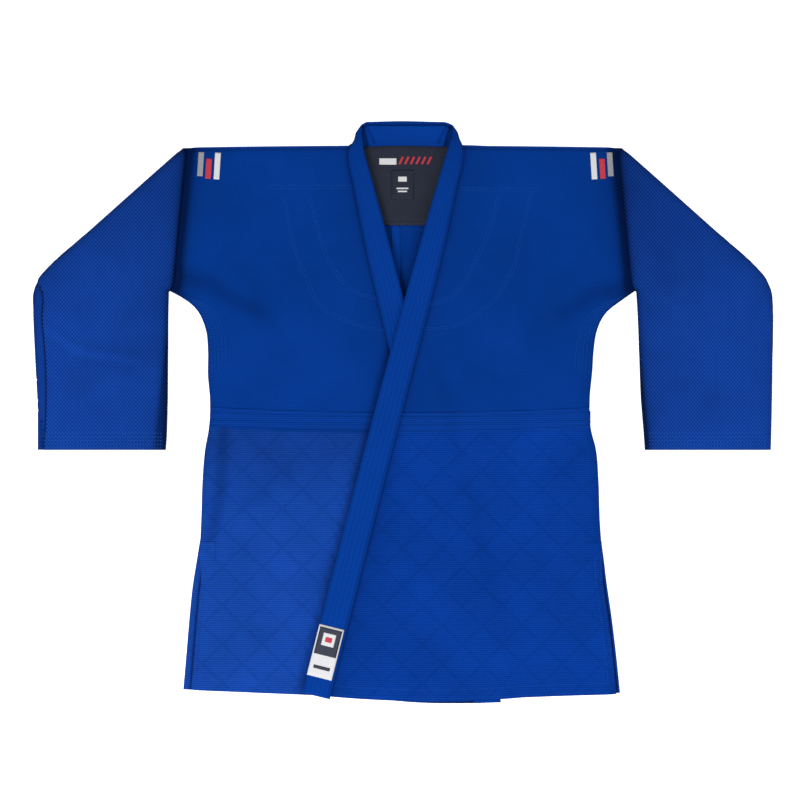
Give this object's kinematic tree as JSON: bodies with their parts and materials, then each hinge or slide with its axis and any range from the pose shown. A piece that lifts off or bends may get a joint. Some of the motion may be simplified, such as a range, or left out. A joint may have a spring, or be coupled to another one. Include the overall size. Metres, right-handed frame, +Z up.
{
  "type": "martial arts jacket",
  "caption": "Judo jacket laid flat, closed left over right, with folding fronts, swinging sleeves, padded collar, waist seam and side vents.",
  "frame": {"origin": "middle of the jacket in plan, on the surface that its back lies on", "axes": "+X to the wearer's left, +Y to the collar, +Z up out of the front face"},
  "size_m": [1.1114, 0.8766, 0.0244],
  "materials": {
    "pearl_weave": "matt royal blue double-weave cotton with a raised rice-grain surface",
    "diamond_weave": "matt royal blue cotton with a stitched diamond lattice",
    "collar_drill": "smooth royal blue cotton drill with lengthwise stitch rows",
    "collar_core": "stiff undyed cotton felt, hidden in the collar",
    "yoke_satin": "dark satin lining",
    "woven_label": "woven label, two-tone with a pale border",
    "embroidery": "raised satin stitch"
  },
  "bodies": {
    "torso": {"back_left_panel": "pearl_weave", "back_right_panel": "pearl_weave", "back_seam_tape": "collar_drill", "back_skirt": "diamond_weave", "back_waist_band": "diamond_weave", "neck_yoke_lining": "yoke_satin", "neck_size_label": "woven_label", "collar_back_band": "collar_drill", "collar_back_core": "collar_core", "front_left_panel_side": "pearl_weave", "skirt_front_left_side": "diamond_weave", "waist_band_left_side": "diamond_weave", "shoulder_lining_left_side": "pearl_weave", "front_right_panel_side": "pearl_weave", "skirt_front_right_side": "diamond_weave", "waist_band_right_side": "diamond_weave", "shoulder_lining_right": "pearl_weave", "lapel_left_neck_end": "collar_drill", "lapel_right_neck_end": "collar_drill", "side_seam_tape_left": "collar_drill", "side_seam_tape_right": "collar_drill", "shoulder_seam_tape_left": "collar_drill", "shoulder_seam_tape_right": "collar_drill", "vent_patch_left": "diamond_weave", "vent_patch_right": "diamond_weave", "shoulder_emblem_left": "embroidery", "shoulder_emblem_right": "embroidery", "underarm_gusset_left": "pearl_weave", "underarm_gusset_right": "pearl_weave"},
    "left_front": {"front_left_panel": "pearl_weave", "skirt_front_left": "diamond_weave", "waist_band_left": "diamond_weave", "shoulder_lining_left": "pearl_weave", "lapel_left": "collar_drill", "lapel_left_core": "collar_core", "lapel_label": "woven_label"},
    "right_front": {"front_right_panel": "pearl_weave", "skirt_front_right": "diamond_weave", "waist_band_right": "diamond_weave", "lapel_right": "collar_drill", "lapel_right_core": "collar_core"},
    "left_sleeve": {"sleeve_left": "pearl_weave", "cuff_facing_left": "pearl_weave"},
    "right_sleeve": {"sleeve_right": "pearl_weave", "cuff_facing_right": "pearl_weave"}
  },
  "joints": [
    {"name": "left_front_open", "type": "hinge", "parent": "torso", "child": "left_front", "pos_m": [0.176, -0.00071, 0.0239], "axis": [-0.2513, 0.9679, 0], "range_deg": [0, 176]},
    {"name": "right_front_open", "type": "hinge", "parent": "torso", "child": "right_front", "pos_m": [-0.021, -0.00071, 0.0171], "axis": [0.093, -0.9957, 0], "range_deg": [0, 176]},
    {"name": "left_sleeve_swing", "type": "hinge", "parent": "torso", "child": "left_sleeve", "pos_m": [0.33, 0.39629, 0.0075], "axis": [0, 0, 1], "range_deg": [0, 35]},
    {"name": "right_sleeve_swing", "type": "hinge", "parent": "torso", "child": "right_sleeve", "pos_m": [-0.33, 0.39629, 0.0075], "axis": [0, 0, -1], "range_deg": [0, 35]}
  ],
  "couplings": [
    {"joint": "right_front_open", "follows": "left_front_open", "ratio": 1}
  ]
}
